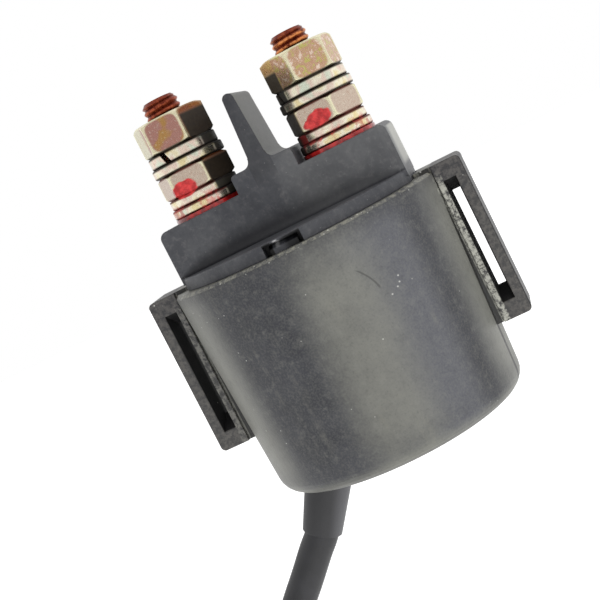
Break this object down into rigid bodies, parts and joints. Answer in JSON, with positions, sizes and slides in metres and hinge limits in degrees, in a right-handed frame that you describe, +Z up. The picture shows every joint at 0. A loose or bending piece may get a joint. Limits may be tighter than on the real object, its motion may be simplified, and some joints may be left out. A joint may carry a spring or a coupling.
{
  "type": "starter solenoid relay",
  "caption": "Round starter relay in a slotted rubber damper boot, with two threaded power studs, a barrier fin and a sleeved coil lead with connector.",
  "frame": {"origin": "midway between the two ear slots, on the case's axis", "axes": "+Z up along the studs, +X through the right ear, -Y towards the front with the snap window"},
  "size_m": [0.0766, 0.0458, 0.1748],
  "materials": {
    "boot_rubber": "matte, dusty",
    "cover_plastic": "satin",
    "seal_rubber": "matte",
    "stud_copper": "copper flash, satin",
    "zinc_yellow": "yellow passivated zinc",
    "seal_red": "glossy sealing paint",
    "soft_iron": "bright",
    "spring_steel": "bright",
    "bobbin_nylon": "natural",
    "winding_copper": "enamelled",
    "contact_copper": "bright",
    "contact_silver": "satin",
    "sleeve_vinyl": "smooth",
    "wire_vinyl": "smooth",
    "connector_nylon": "natural",
    "terminal_brass": "tinned"
  },
  "bodies": {
    "relay": {"rubber_boot": "boot_rubber", "case": "cover_plastic", "cover_seal": "seal_rubber", "terminal_cover": "cover_plastic", "terminal_stud_left": "stud_copper", "terminal_stud_right": "stud_copper", "stud_sealant": "seal_red", "lower_flat_washers": "zinc_yellow", "lower_spring_washers": "zinc_yellow", "lower_nuts": "zinc_yellow", "yoke": "soft_iron", "pole_plate": "soft_iron", "fixed_core": "soft_iron", "bobbin": "bobbin_nylon", "coil_winding": "winding_copper", "coil_leads": "winding_copper", "lead_grommet": "boot_rubber", "lead_sleeve": "sleeve_vinyl", "lead_wires": "wire_vinyl", "connector_housing": "connector_nylon", "connector_terminals": "terminal_brass"},
    "plunger": {"plunger": "soft_iron", "push_rod": "soft_iron", "return_spring": "spring_steel", "contact_spring": "spring_steel", "retaining_clip": "spring_steel"},
    "contact_bridge": {"contact_bridge": "contact_copper", "contact_buttons": "contact_silver", "insulating_bush": "bobbin_nylon"},
    "left_washers": {"upper_flat_washer_left": "zinc_yellow", "upper_spring_washer_left": "zinc_yellow"},
    "left_nut": {"terminal_nut_left": "zinc_yellow"},
    "right_washers": {"upper_flat_washer_right": "zinc_yellow", "upper_spring_washer_right": "zinc_yellow"},
    "right_nut": {"terminal_nut_right": "zinc_yellow"}
  },
  "joints": [
    {"name": "plunger_slide", "type": "slide", "parent": "relay", "child": "plunger", "axis": [0, 0, 1], "range_m": [0, 0.0028], "stiffness_N_per_m": 400, "springref_m": -0.005, "deforming": ["return_spring"]},
    {"name": "bridge_slide", "type": "slide", "parent": "plunger", "child": "contact_bridge", "axis": [0, 0, 1], "range_m": [-0.0006, 0], "deforming": ["contact_spring"]},
    {"name": "left_washer_lift", "type": "slide", "parent": "relay", "child": "left_washers", "axis": [0, 0, 1], "range_m": [0, 0.004]},
    {"name": "left_nut_turn", "type": "hinge", "parent": "left_washers", "child": "left_nut", "pos_m": [-0.0115, 0, 0.0362], "axis": [0, 0, 1], "range_deg": [0, 1440]},
    {"name": "right_washer_lift", "type": "slide", "parent": "relay", "child": "right_washers", "axis": [0, 0, 1], "range_m": [0, 0.004]},
    {"name": "right_nut_turn", "type": "hinge", "parent": "right_washers", "child": "right_nut", "pos_m": [0.0115, 0, 0.0362], "axis": [0, 0, 1], "range_deg": [0, 1440]}
  ],
  "couplings": [
    {"joint": "bridge_slide", "follows": "plunger_slide", "ratio": -0.21429},
    {"joint": "left_nut_turn", "follows": "left_washer_lift", "rad_per_m": 6283.2},
    {"joint": "right_nut_turn", "follows": "right_washer_lift", "rad_per_m": 6283.2}
  ]
}
